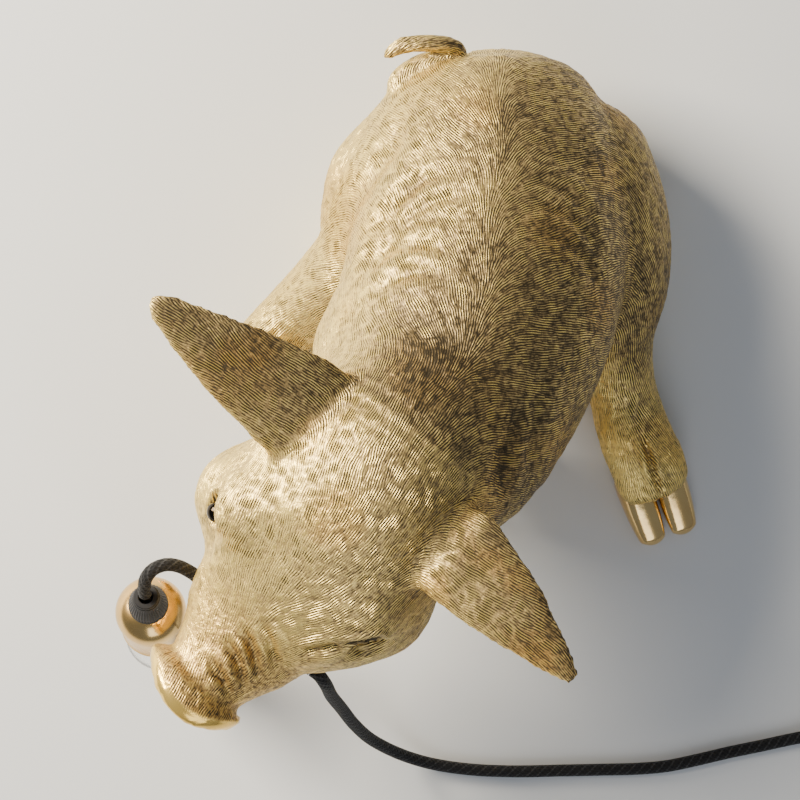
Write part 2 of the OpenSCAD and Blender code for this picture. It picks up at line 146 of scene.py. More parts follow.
def coil_path():
    """Two flat spirals, the lower one winding in and the upper one winding out."""
    turns = COIL_IN_TURNS + COIL_RISE_TURNS + COIL_OUT_TURNS
    t = np.linspace(0, turns, int(turns * 60))
    inner = COIL_OUTER - COIL_PITCH * COIL_IN_TURNS
    out = (COIL_OUTER - inner) / COIL_OUT_TURNS
    after = np.clip(t - COIL_IN_TURNS - COIL_RISE_TURNS, 0, None)
    r = np.where(t < COIL_IN_TURNS, COIL_OUTER - COIL_PITCH * t, inner + out * after)
    rise = np.clip((t - COIL_IN_TURNS) / COIL_RISE_TURNS, 0, 1)
    z = FLOOR_Z + (COIL_TOP_Z - FLOOR_Z) * rise * rise * (3 - 2 * rise)
    a = np.radians(COIL_ENTER) + 2 * math.pi * t
    return np.stack([COIL_AT[0] + r * np.cos(a), COIL_AT[1] + r * np.sin(a), z], axis=1)


def frames_along(path):
    """Tangent and two normals at each point, turned as little as possible."""
    t = unit(np.gradient(path, axis=0))
    n = np.zeros_like(path)
    v = np.array([0.31, 0.2, 0.93])
    for i in range(len(path)):
        v = v - t[i] * (t[i] @ v)
        v = v / np.linalg.norm(v)
        n[i] = v
    return t, n, np.cross(t, n)


BRAID_CARRIERS = 16
BRAID_PITCH = 11.0


def braided_tube(name, path, radius=CORD_R, sides=40, gap=0.55):
    """A round textile cord: two sets of helical threads that pass over and under each other."""
    path = evenly(path, gap)
    t, n, b = frames_along(path)
    m = len(path)
    s = np.arange(m)[:, None] * gap
    phi = np.linspace(0, 2 * math.pi, sides, endpoint=False)[None, :]
    half = BRAID_CARRIERS / 2
    one = half * phi + 2 * math.pi * s / BRAID_PITCH * half / 2
    two = half * phi - 2 * math.pi * s / BRAID_PITCH * half / 2
    over = 0.5 + 0.5 * np.sin((one + two) / 2) * np.sin((one - two) / 2)
    lift = np.maximum(np.cos(one) * over, np.cos(two) * (1 - over))
    r = radius - 0.14 + 0.14 * lift
    ring = n[:, None, :] * np.cos(phi)[..., None] + b[:, None, :] * np.sin(phi)[..., None]
    points = (path[:, None, :] + ring * r[..., None]).reshape(-1, 3)
    i, k = np.meshgrid(np.arange(m - 1), np.arange(sides), indexing="ij")
    k2 = (k + 1) % sides
    quads = np.stack([i * sides + k, i * sides + k2, (i + 1) * sides + k2, (i + 1) * sides + k],
                     axis=-1).reshape(-1, 4)
    obj = make_object(name, points, quads)
    work = bmesh.new()
    work.from_mesh(obj.data)
    work.verts.ensure_lookup_table()
    for ring_start, flip in ((0, True), ((m - 1) * sides, False)):
        loop = [work.verts[ring_start + j] for j in range(sides)]
        work.faces.new(loop[::-1] if flip else loop)
    bmesh.ops.recalc_face_normals(work, faces=work.faces)
    work.to_mesh(obj.data)
    work.free()
    add_attribute(obj, "braid", np.stack([np.repeat(s[:, 0], sides) / BRAID_PITCH,
                                          np.tile(phi[0] / (2 * math.pi), m),
                                          np.zeros(m * sides)], axis=1), "FLOAT_VECTOR")
    return obj, path * MM


def add_cords():
    lead = catmull(LEAD_ROUTE, 12)
    switch = np.array([LEAD_ROUTE[-1], (261, -188, 6.0), RUN_ROUTE[0]], float)
    run = catmull(RUN_ROUTE, 12)
    whole = np.concatenate([lead[:-1], switch[:-1], run[:-1], coil_path(), catmull(END_ROUTE, 12)[1:]])
    cord, path = braided_tube("textile_cord", whole)
    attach(cord, "pig")
    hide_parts("cord_lead", "cord_run", "cord_coil", "cord_end")
    nodes = frame["nodes"]
    switch = [nodes[n] for n in ("switch_lower_shell", "switch_upper_shell", "switch_rocker",
                                 "switch_contacts", "switch_screws")]
    hanging, path2 = braided_tube("hanging_cord", catmull(PENDANT_ROUTE, 12))
    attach(hanging, "pendant")
    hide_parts("cord_pendant")
    return [cord, hanging]


# ---------------------------------------------------------------- the figure's skin
# Stations: x, y, z of the centre line, half width, height above it, height below it
TORSO = [(46, 169, 46, 8, 8, 8), (46, 164, 48, 32, 25, 30), (46, 151, 52, 52, 40, 50),
         (43, 121, 64, 68, 52, 64), (40, 89, 76, 73, 58, 68), (37, 57, 90, 73, 59, 60),
         (30, 25, 106, 70, 59, 60), (19, -5, 120, 65, 59, 60), (6, -29, 132, 60, 55, 57),
         (-8, -47, 140, 51, 45, 47), (-20, -61, 146, 38, 32, 36)]
RIGHT_HAUNCH = [(104, 142, 40, 9, 10, 10), (100, 131, 44, 24, 30, 36), (98, 101, 50, 35, 45, 52),
                (100, 67, 50, 38, 46, 52), (104, 41, 44, 32.5, 38, 46), (110, 19, 34, 20.5, 26, 35),
                (114.5, -4, 26, 18.5, 20, 27), (121, -27, 22, 19.8, 18, 22), (129, -45, 19, 20.5, 16, 18),
                (133, -57, 17, 19.5, 14, 16), (135, -62, 16, 16, 11, 11)]
LEFT_HAUNCH = [(0, 144, 42, 9, 10, 10), (1, 134, 46, 26, 30, 36), (-3, 109, 50, 40, 45, 50),
               (-8, 85, 50, 41, 46, 50), (-22, 63, 43, 33, 37, 44), (-44, 47, 33, 24, 27, 34),
               (-62, 35, 26, 19, 20, 26), (-76, 23, 22, 17, 17, 21), (-84, 15, 19, 16.5, 14, 17),
               (-89, 10, 17, 15, 12, 14)]
LEFT_FORELEG = [(-16, -21, 128, 20, 20, 20), (-20, -27, 108, 26, 30, 30), (-23, -33, 80, 21, 25, 24),
                (-24, -39, 50, 17, 18, 18), (-24, -42, 30, 16, 16, 16), (-24, -43, 20, 16, 16, 16),
                (-24, -44, 15, 13, 13, 13)]
RIGHT_FORELEG = [(42, -19, 124, 20, 20, 20), (47, -26, 104, 25, 31, 32), (49, -34, 78, 21, 26, 26),
                 (48, -40, 50, 18, 18, 18), (47, -43, 30, 16, 16, 16), (47, -44, 20, 16, 16, 16),
                 (47, -45, 15, 13, 13, 13)]
TAIL = [(6, 138, 70, 8, 8, 8), (-3, 146, 74, 7, 7, 7), (-5.5, 154.5, 76, 6.4, 6.4, 6.4),
        (3, 161.5, 77, 6, 6, 6), (14, 166, 78, 5.4, 5.4, 5.4), (23.5, 169.3, 80, 4.6, 4.6, 4.6),
        (19, 172.4, 84, 4.2, 3.8, 3.8), (7, 173, 85, 4.6, 3.4, 3.4), (-5, 171.8, 84, 4.4, 3, 3),
        (-12.5, 167.5, 82, 3, 2.4, 2.4), (-14.5, 165.5, 81.5, 1.4, 1.4, 1.4)]
LEFT_EAR = [(-36, -25, 180, 22, 8, 8), (-52, -15, 189, 26, 7, 7), (-70, -2, 195, 22.5, 5, 5),
            (-88, 10.5, 199, 18, 4, 4), (-104, 22.5, 202, 12, 3, 3), (-115, 31, 204, 7.5, 3, 3),
            (-120, 35, 205, 3.5, 2, 2)]
RIGHT_EAR = [(8, -71, 180, 20, 8, 8), (21, -83.5, 189, 23.5, 7, 7), (33, -96, 194, 21, 5, 5),
             (45, -108, 197, 18, 4, 4), (57, -121, 199, 12.5, 3, 3), (68, -133, 200, 7.5, 3, 3),
             (74, -139.5, 200, 3.5, 2, 2)]
HEAD_DIR = np.array([-0.628, -0.778, 0.0])
HEAD_SIDE = np.array([0.778, -0.628, 0.0])
POLL = np.array([-19.0, -47.0, 0.0])
# In front of the poll, to the right, centre height, half width, height above, height below
HEAD_PROFILE = [(-40, 0, 146, 38, 38, 42), (-20, 0, 154, 50, 46, 52), (0, 1, 157, 56, 49, 56),
                (25, 3, 157, 58, 46, 58), (45, 5, 155, 57, 41, 55), (62, 4, 153, 53, 36, 51),
                (78, 1.5, 151, 45, 30, 42), (92, 0, 149, 37, 26, 34), (106, 0, 148, 31, 24, 28),
                (120, -1, 148, 24.5, 22.5, 24), (131, -2, 149, 22.5, 22, 21.5), (138, -3, 150, 27, 25, 23.5),
                (143, -3, 150, 28.5, 26, 25), (147, -3, 150, 27, 24.5, 23)]


def head_point(ahead, right, up):
    return POLL + HEAD_DIR * ahead + HEAD_SIDE * right + np.array([0.0, 0.0, up])


HEAD = [(*head_point(d, r, z), w, u, b) for d, r, z, w, u, b in HEAD_PROFILE]
# name: stations, the way that "above" is measured from, blend radius
LIMBS = {
    "torso": (TORSO, (0, 0, 1), 0.0),
    "right_haunch": (RIGHT_HAUNCH, (0, 0, 1), 7.0),
    "left_haunch": (LEFT_HAUNCH, (0, 0, 1), 7.0),
    "left_foreleg": (LEFT_FORELEG, (0, 1, 0), 12.0),
    "right_foreleg": (RIGHT_FORELEG, (0, 1, 0), 12.0),
    "head": (HEAD, (0, 0, 1), 20.0),
    "tail": (TAIL, (0, 0, 1), 3.0),
    "left_ear": (LEFT_EAR, (0, 0, 1), 7.0),
    "right_ear": (RIGHT_EAR, (0, 0, 1), 7.0),
}
FAR = 60.0


class Limb:
    """A bent oval tube: gives the distance of points to its surface and the way that it runs."""

    def __init__(self, stations, hint):
        q = catmull(stations, 4)
        self.c = q[:, :3]
        self.t = unit(np.gradient(self.c, axis=0))
        self.side = unit(np.cross(self.t, np.array(hint, float)))
        self.up = np.cross(self.side, self.t)
        self.size = q[:, 3:6]
        self.step = np.linalg.norm(np.gradient(self.c, axis=0), axis=1)
        reach = self.size.max() + 12
        self.low, self.high = self.c.min(0) - reach, self.c.max(0) + reach

    def distance(self, p):
        """Distance and the nearest station, for points in millimetres."""
        out = np.full(len(p), FAR)
        near = np.zeros(len(p), int)
        inside = np.where(np.all((p > self.low) & (p < self.high), axis=1))[0]
        cc = (self.c ** 2).sum(1)
        for part in np.array_split(inside, max(1, len(inside) // 60000)):
            x = p[part]
            i = np.argmin(cc[None, :] - 2 * x @ self.c.T, axis=1)
            q = x - self.c[i]
            a = (q * self.t[i]).sum(1)
            last = len(self.c) - 1
            f = np.clip(a / self.step[i], -0.6, 0.6)
            j = np.clip(i + np.sign(f).astype(int), 0, last)
            size = self.size[i] + (self.size[j] - self.size[i]) * np.abs(f)[:, None]
            q = q - self.t[i] * a[:, None]
            h, v = (q * self.side[i]).sum(1), (q * self.up[i]).sum(1)
            tall = np.where(v > 0, size[:, 1], size[:, 2])
            r = np.sqrt((h / size[:, 0]) ** 2 + (v / tall) ** 2)
            flat = np.hypot(h, v)
            d = np.where(r > 1e-3, flat - flat / np.maximum(r, 1e-3), -np.minimum(size[:, 0], tall))
            past = np.where((i == 0) | (i == last), np.maximum(np.abs(a) - 0.6 * self.step[i], 0), 0)
            d = np.hypot(np.maximum(d, 0), past) + np.minimum(d, 0) * (past == 0)
            out[part], near[part] = d, i
        return out, near


def smooth_min(a, b, k):
    if k <= 0:
        return np.minimum(a, b)
    h = np.maximum(k - np.abs(a - b), 0) / k
    return np.minimum(a, b) - h * h * k * 0.25


def blob(p, centre, radii):
    """Roughly the distance to an ellipsoid."""
    q = (p - np.array(centre)) / np.array(radii)
    r = np.linalg.norm(q, axis=1)
    return (r - 1) * min(radii)


# Swellings melted onto the limbs: centre, radii, blend radius
SWELLINGS = [((-27, 12, 104), (23, 30, 34), 9)]
for side in (-1, 1):
    SWELLINGS.append((head_point(48, side * 40, 140), (26, 26, 26), 14))
    SWELLINGS.append((head_point(50, side * 34, 176), (17, 17, 13), 10))
FOOT = 2.0
MOUTH = np.array([-76.4, -121.3, 139.0])
BORE_R = 3.9
EYES = (head_point(60.5, -49.5, 166), head_point(62.5, 46.0, 167))
EYE_HOLLOW_UP = np.array([0, 0, 5.0])


def snout_bend(p):
    """How far the snout's disc is swept back at each point."""
    right = (p - POLL) @ HEAD_SIDE
    return 10.5 * np.clip(right / 27, -1.1, 1.1) ** 2 * ramp((p - POLL) @ HEAD_DIR, 122, 136)


def skin_distance(p, limbs):
    """Distance to the casting's surface: the limbs melted together, then what is pressed into it."""
    d = np.full(len(p), FAR)
    for name, (_, _, k) in LIMBS.items():
        bent = p + HEAD_DIR * snout_bend(p)[:, None] if name == "head" else p
        one, _ = limbs[name].distance(bent)
        d = smooth_min(d, one, k)
    for centre, radii, k in SWELLINGS:
        d = smooth_min(d, blob(p, centre, radii), k)
    for eye in EYES:
        d = -smooth_min(-d, blob(p, eye + EYE_HOLLOW_UP, (9, 9, 5)), 5)
    along = (p - MOUTH) @ HEAD_SIDE
    bore = np.linalg.norm(p - MOUTH - along[:, None] * HEAD_SIDE, axis=1) - BORE_R
    d = np.maximum(d, -bore)
    for side in (-1, 1):
        nostril = blob(p, head_point(150, side * 10, 151), (7, 4.2, 7))
        d = -smooth_min(-d, nostril, 2)
    return np.maximum(d, FOOT - p[:, 2])


GRID = 2.0


def skin_mesh(limbs):
    """Points and quads of the skin at a grid step."""
    low = np.array([-160.0, -184.0, -4.0])
    high = np.array([160.0, 184.0, 216.0])
    shape = ((high - low) / GRID).astype(int) + 1
    axes = [low[k] + GRID * np.arange(shape[k]) for k in range(3)]
    field = np.empty(shape, np.float32)
    slab = 16
    for i in range(0, shape[0], slab):
        x, y, z = np.meshgrid(axes[0][i:i + slab], axes[1], axes[2], indexing="ij")
        p = np.stack([x.ravel(), y.ravel(), z.ravel()], axis=1)
        field[i:i + slab] = skin_distance(p, limbs).reshape(x.shape)
    grid = openvdb.FloatGrid(FAR)
    grid.copyFromArray(field)
    points, quads = grid.convertToQuads(0.0)
    return low + points * GRID, quads


def refined(points, quads):
    """The mesh after one level of subdivision, as a new object's arrays."""
    obj = make_object("skin", points, quads)
    sub = obj.modifiers.new("sub", "SUBSURF")
    sub.levels = sub.render_levels = 1
    mesh = obj.evaluated_get(bpy.context.evaluated_depsgraph_get()).to_mesh()
    p = np.zeros(len(mesh.vertices) * 3, np.float32)
    mesh.vertices.foreach_get("co", p)
    q = np.zeros(len(mesh.loops), np.int32)
    mesh.loops.foreach_get("vertex_index", q)
    bpy.data.objects.remove(obj)
    return p.reshape(-1, 3) / MM, q.reshape(-1, 4)


def normals_of(points, quads):
    a, b, c, d = (points[quads[:, k]] for k in range(4))
    face = np.cross(c - a, d - b)
    n = np.zeros_like(points)
    for k in range(4):
        for axis in range(3):
            n[:, axis] += np.bincount(quads[:, k], face[:, axis], len(points))
    return unit(n)


# ---------------------------------------------------------------- carving
def lattice_noise(p, cell, seed):
    """Smooth value noise, about -1 to 1, repeating only every 64 cells."""
    table = np.random.default_rng(seed).uniform(-1, 1, (64, 64, 64)).astype(np.float32)
    q = p / cell
    i = np.floor(q).astype(np.int64)
    f = (q - i).astype(np.float32)
    f = f * f * (3 - 2 * f)
    out = np.zeros(len(p), np.float32)
    for dx in (0, 1):
        for dy in (0, 1):
            for dz in (0, 1):
                w = (np.abs(1 - dx - f[:, 0]) * np.abs(1 - dy - f[:, 1]) * np.abs(1 - dz - f[:, 2]))
                out += w * table[(i[:, 0] + dx) & 63, (i[:, 1] + dy) & 63, (i[:, 2] + dz) & 63]
    return out


def streaks(p, way, long, cell, seed):
    """Noise drawn out along a direction field: zero mean, unit spread."""
    steps = int(max(3, long / cell)) | 1
    s = np.linspace(-0.5, 0.5, steps)
    w = np.cos(s * math.pi * 0.9) ** 2
    out = np.zeros(len(p), np.float32)
    for offset, weight in zip(s, w):
        out += weight * lattice_noise(p + way * (offset * long), cell, seed)
    return out / out.std()


def plan_distance(p, line):
    """Distance in plan to a smooth line, and how far along it the nearest point is, 0 to 1."""
    rows = [(x, y, 0) for x, y in line]
    q = catmull(rows, 8)[:, :2]
    d2 = ((p[:, None, :2] - q[None]) ** 2).sum(2)
    i = d2.argmin(1)
    return np.sqrt(d2[np.arange(len(p)), i]), i / (len(q) - 1)


# Skin folds in plan: line, half width, depth, heights between which they show
FOLDS = [
    ([(-2, 141), (-10, 121), (-22, 101), (-32, 85), (-36, 67), (-35, 51)], 5.0, 3.6, (60, 220)),
    ([(20, 101), (6, 98), (-2, 91), (-10, 81), (-19, 73)], 3.2, 1.8, (90, 220)),
    ([(26, 90), (10, 86), (-1, 80), (-12, 73), (-26, 67)], 3.2, 2.0, (90, 220)),
    ([(20, 79), (6, 77), (-4, 73), (-13, 66), (-25, 56)], 3.2, 2.0, (90, 220)),
    ([(16, 63), (2, 65), (-9, 63), (-18, 56), (-28, 45)], 3.6, 2.2, (90, 220)),
    ([(14, 50), (2, 51), (-10, 47), (-20, 40)], 3.6, 1.7, (100, 220)),
    ([(60, 99), (74, 94), (84, 85), (91, 73)], 2.8, 1.5, (90, 220)),
    ([(62, 86), (76, 81), (85, 72), (91, 61)], 2.8, 1.5, (90, 220)),
    ([(64, 72), (77, 67), (86, 57), (91, 45)], 2.8, 1.3, (90, 220)),
    ([(52, -15), (46, -29), (42, -45), (44, -59)], 4.0, 2.0, (110, 220)),
    ([(62, -1), (58, -19), (56, -39), (58, -57)], 3.8, 1.5, (100, 220)),
    ([(-80, -121), (-76, -130), (-74, -143)], 2.0, 1.9, (150, 220)),
    ([(-88, -127), (-83, -136), (-81, -147)], 2.0, 2.0, (150, 220)),
    ([(-97, -135), (-91, -144), (-87, -152)], 2.0, 1.8, (150, 220)),
    ([(-71, -118), (-67, -127), (-66, -137)], 2.0, 1.4, (150, 220)),
    ([(-53, -131), (-42.5, -129), (-33, -126.5)], 2.2, 2.4, (140, 220)),
    ([(-101, -89), (-98, -81), (-96, -74)], 3.0, 1.0, (140, 220)),
    ([(124, -30), (130, -46), (136, -66)], 1.6, 2.2, (4, 45)),
    ([(-70, 28), (-82, 17), (-94, 6)], 1.6, 2.0, (4, 45)),
]
EYE_SLITS = ([(-93.2, -56), (-95.6, -62.6), (-94, -69.5)], [(-31.5, -126), (-23, -124.8), (-15, -123.2)])
# How far the hair leans away from the spine, in degrees: left flank, right flank
LEAN = {"torso": (34, 62), "head": (12, 12), "right_haunch": (20, 20), "left_haunch": (20, 20)}


def hair_way(p, n, limbs):
    """The way the hair lies at each point, along the surface, and how much each limb counts there."""
    way = np.zeros_like(p)
    share = {}
    for name, limb in limbs.items():
        d, i = limb.distance(p)
        w = np.exp(-np.clip(d, -2, 30) / 4.0)
        w[d >= FAR] = 0
        share[name] = w
        back = limb.t[i] * (-1 if name in ("torso", "head") else 1)
        q = p - limb.c[i]
        h = (q * limb.side[i]).sum(1)
        lean = LEAN.get(name, (8, 8))
        angle = np.radians(np.where(h > 0, lean[0], lean[1])) * np.tanh(np.abs(h) / 12)
        out = limb.side[i] * np.sign(h)[:, None]
        out = out - n * (out * n).sum(1)[:, None]
        back = back - n * (back * n).sum(1)[:, None]
        way += w[:, None] * (unit(back) * np.cos(angle)[:, None] + unit(out) * np.sin(angle)[:, None])
    total = sum(share.values())
    way = way - n * (way * n).sum(1)[:, None]
    return unit(way), {k: v / np.maximum(total, 1e-6) for k, v in share.items()}


def carve(p, n, limbs):
    """Moves the skin's points: folds, eyelids, mouth line and hair. Returns them and what the paint needs."""
    way, share = hair_way(p, n, limbs)
    swirl = unit(np.cross(n, way))
    turn = lattice_noise(p, 26, 3) * 0.32 + lattice_noise(p, 9, 4) * 0.16
    way = unit(way + swirl * turn[:, None])
    ahead = (p - POLL) @ HEAD_DIR + snout_bend(p)
    on_head = share["head"] * (ahead > -30)
    muzzle = on_head * ramp(ahead, 70, 110)
    polish = on_head * ramp(ahead, 139.5, 142.5)
    # cavity darkens the gold in the folds, eye slits and mouth line: partly patina left in the hollows,
    # partly painted shade.
    cavity = np.zeros(len(p))
    lift = np.zeros(len(p))
    for line, width, depth, (lowest, highest) in FOLDS:
        near = np.where((p[:, 2] > lowest) & (p[:, 2] < highest) & (n[:, 2] > -0.1))[0]
        d, at = plan_distance(p[near], line)
        fade = np.sin(np.clip(at, 0.03, 0.97) * math.pi) ** 0.6 * np.exp(-np.clip(d - 4 * width, 0, 99))
        d = d + 0.8 * lattice_noise(p[near], 7, 11)
        cut = depth * np.exp(-(d / width) ** 2) * fade
        lift[near] -= cut - 0.5 * depth * np.exp(-((np.abs(d) - 2.3 * width) / (1.2 * width)) ** 2) * fade
        cavity[near] += cut / 2.6
    for slit in EYE_SLITS:
        near = np.where((p[:, 2] > 130) & (n[:, 2] > -0.1) & (on_head > 0.3))[0]
        d, at = plan_distance(p[near], slit)
        fade = np.sin(np.clip(at, 0.0, 1.0) * math.pi) ** 0.5
        cut = 2.4 * np.exp(-(d / 1.25) ** 4) * fade
        lids = 1.1 * np.exp(-((d - 2.9) / 1.5) ** 2) * np.exp(-np.clip(np.abs(at - 0.5) - 0.5, 0, 1) * 9)
        lift[near] += lids * (d < 9) - cut
        # The eye slit gets the strongest darkening: painted shade, partly patina.
        cavity[near] += cut * 2.6
    lip = 136.5 + 2.0 * np.sin(ahead / 22.0)
    mouth = on_head * ramp(ahead, 62, 74) * (1 - ramp(ahead, 136, 142)) * (n[:, 2] > -0.8)
    cut = 1.9 * np.exp(-((p[:, 2] - lip) / 1.5) ** 2) * mouth
    lift -= cut
    cavity += cut * 1.6
    ear = share["left_ear"] + share["right_ear"]
    coarse = streaks(p, way, 9.0, 1.15, 21)
    short = streaks(p, way, 3.5, 1.2, 22)
    hair = coarse * (1 - 0.75 * muzzle) + short * (0.25 + 0.75 * muzzle)
    hair = np.tanh(hair * 0.8)
    depth = (0.17 + 0.05 * share["torso"] - 0.05 * ear) * (1 - polish)
    skin = lattice_noise(p, 5.5, 31) * 0.10 + lattice_noise(p, 15, 32) * 0.35
    lift += hair * depth + skin * (1 - polish)
    # Painted shade: darker on the right side, away from the key light, and on top, with a darker band over
    # the middle of the back that is partly patina; much less on the legs and on the head.
    shade_and_patina = ramp(0.8 * n[:, 0] + 0.38 * n[:, 2] + 0.18 * lattice_noise(p, 30, 51), -0.42, 0.62)
    shade_and_patina += 0.5 * np.exp(-((p[:, 0] - 6) / 30) ** 2 - ((p[:, 1] - 18) / 32) ** 2) * ramp(p[:, 2], 90, 130)
    shade_and_patina = shade_and_patina * (1 - 0.95 * ramp(p[:, 2], 60, 20)) * (1 - 0.35 * on_head)
    warm = np.clip(0.6 * muzzle + 0.7 * ear * ramp(lattice_noise(p, 12, 41), -0.2, 0.6)
                   + 0.55 * ramp(lattice_noise(p, 34, 42), 0.05, 0.6), 0, 1)
    paint = {"hair": hair, "cavity": np.clip(cavity, 0, 6), "polish": polish, "warm": warm, "muzzle": muzzle,
             "shade_and_patina": shade_and_patina,
             "across": unit(np.cross(n, way))}
    return p + n * lift[:, None], paint


NECK_POINT = (-10.0, -41.0, 150.0)
NECK_NORMAL = (-0.45, -0.65, 0.6)


def cut_at_neck(skin, name, keep_front):
    """One casting: the skin on one side of the glued neck joint, closed by a flat face there."""
    obj = bpy.data.objects.new(name, skin.data.copy())
    bpy.context.scene.collection.objects.link(obj)
    work = bmesh.new()
    work.from_mesh(obj.data)
    geometry = work.verts[:] + work.edges[:] + work.faces[:]
    point = tuple(x * MM for x in NECK_POINT)
    bmesh.ops.bisect_plane(work, geom=geometry, dist=1e-6, plane_co=point, plane_no=NECK_NORMAL,
                           clear_inner=keep_front, clear_outer=not keep_front)
    rim = [e for e in work.edges if e.is_boundary]
    cap = bmesh.ops.triangle_fill(work, edges=rim, use_beauty=True)["geom"]
    cap = [g for g in cap if isinstance(g, bmesh.types.BMFace)]
    for face in cap:
        face.smooth = False
    bmesh.ops.recalc_face_normals(work, faces=cap)
    for face in cap:
        face.normal_update()
        inward = face.normal.dot(NECK_NORMAL) > 0
        if inward == keep_front:
            face.normal_flip()
    work.to_mesh(obj.data)
    work.free()
    mesh = obj.data
    smooth = np.zeros(len(mesh.vertices) * 3, np.float32)
    mesh.attributes["skin_normal"].data.foreach_get("vector", smooth)
    smooth = unit(smooth.reshape(-1, 3))
    loops = np.zeros(len(mesh.loops), np.int32)
    mesh.loops.foreach_get("vertex_index", loops)
    corner = smooth[loops]
    totals = np.zeros(len(mesh.polygons), np.int32)
    mesh.polygons.foreach_get("loop_total", totals)
    is_smooth = np.zeros(len(mesh.polygons), bool)
    mesh.polygons.foreach_get("use_smooth", is_smooth)
    corner[~np.repeat(is_smooth, totals)] = 0
    mesh.normals_split_custom_set(corner.tolist())
    return obj


def add_figure():
    limbs = {name: Limb(stations, hint) for name, (stations, hint, _) in LIMBS.items()}
    p, quads = skin_mesh(limbs)
    p, quads = refined(p, quads)
    n = normals_of(p, quads)
    p, paint = carve(p, n, limbs)
    skin = make_object("skin", p, quads)
    for key in ("hair", "cavity", "polish", "warm", "muzzle", "shade_and_patina"):
        add_attribute(skin, key, paint[key])
    add_attribute(skin, "across", paint["across"], "FLOAT_VECTOR")
    add_attribute(skin, "skin_normal", normals_of(p, quads), "FLOAT_VECTOR")
    skin.data.materials.append(MATERIALS["antique_gold"])
    torso = cut_at_neck(skin, "torso_skin", False)
    head = cut_at_neck(skin, "head_skin", True)
    bpy.data.objects.remove(skin)
    for piece, nodes in ((torso, ("torso_casting", "tail")),
                         (head, ("head_casting", "ear_left", "ear_right"))):
        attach(piece, "pig")
        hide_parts(*nodes)


# ---------------------------------------------------------------- materials
class Shader:
    """A Principled material and short ways to add nodes to it."""

    def __init__(self, name, **values):
        self.material = bpy.data.materials.new(name)
        self.material.use_nodes = True
        self.nodes = self.material.node_tree.nodes
        self.links = self.material.node_tree.links
        self.main = self.nodes["Principled BSDF"]
        for key, value in values.items():
            self.main.inputs[key.replace("_", " ")].default_value = value

    def add(self, kind, settings=None, **inputs):
        node = self.nodes.new(kind)
        for key, value in (settings or {}).items():
            setattr(node, key, value)
        for key, value in inputs.items():
            self.put(node.inputs[int(key[1:]) if key[1:].isdigit() else key.replace("_", " ")], value)
        return node

    def put(self, socket, value):
        if isinstance(value, bpy.types.NodeSocket):
            self.links.new(value, socket)
        else:
            socket.default_value = value

    def attribute(self, name, output="Fac"):
        return self.add("ShaderNodeAttribute", {"attribute_name": name}).outputs[output]

    def math(self, operation, a, b=0.0, c=0.0, clamp=False):
        node = self.add("ShaderNodeMath", {"operation": operation, "use_clamp": clamp}, i0=a, i1=b, i2=c)
        return node.outputs[0]

    def place(self):
        return self.add("ShaderNodeTexCoord").outputs["Object"]

    def noise(self, scale, detail=3.0, rough=0.55):
        return self.add("ShaderNodeTexNoise", Vector=self.place(), Scale=scale, Detail=detail,
                        Roughness=rough).outputs["Fac"]

    def between(self, value, low, high, to_low=0.0, to_high=1.0):
        node = self.add("ShaderNodeMapRange", Value=value)
        for key, number in (("From Min", low), ("From Max", high), ("To Min", to_low), ("To Max", to_high)):
            node.inputs[key].default_value = number
        return node.outputs[0]

    def mix(self, fac, a, b):
        node = self.add("ShaderNodeMix", {"data_type": "RGBA"})
        self.put(node.inputs[0], fac)
        self.put(node.inputs[6], a if isinstance(a, bpy.types.NodeSocket) else (*a, 1))
        self.put(node.inputs[7], b if isinstance(b, bpy.types.NodeSocket) else (*b, 1))
        return node.outputs[2]

    def bump(self, height, distance, strength=1.0):
        return self.add("ShaderNodeBump", Height=height, Distance=distance, Strength=strength).outputs[0]

    def use(self, **sockets):
        for key, value in sockets.items():
            self.put(self.main.inputs[key.replace("_", " ")], value)
        return self.material


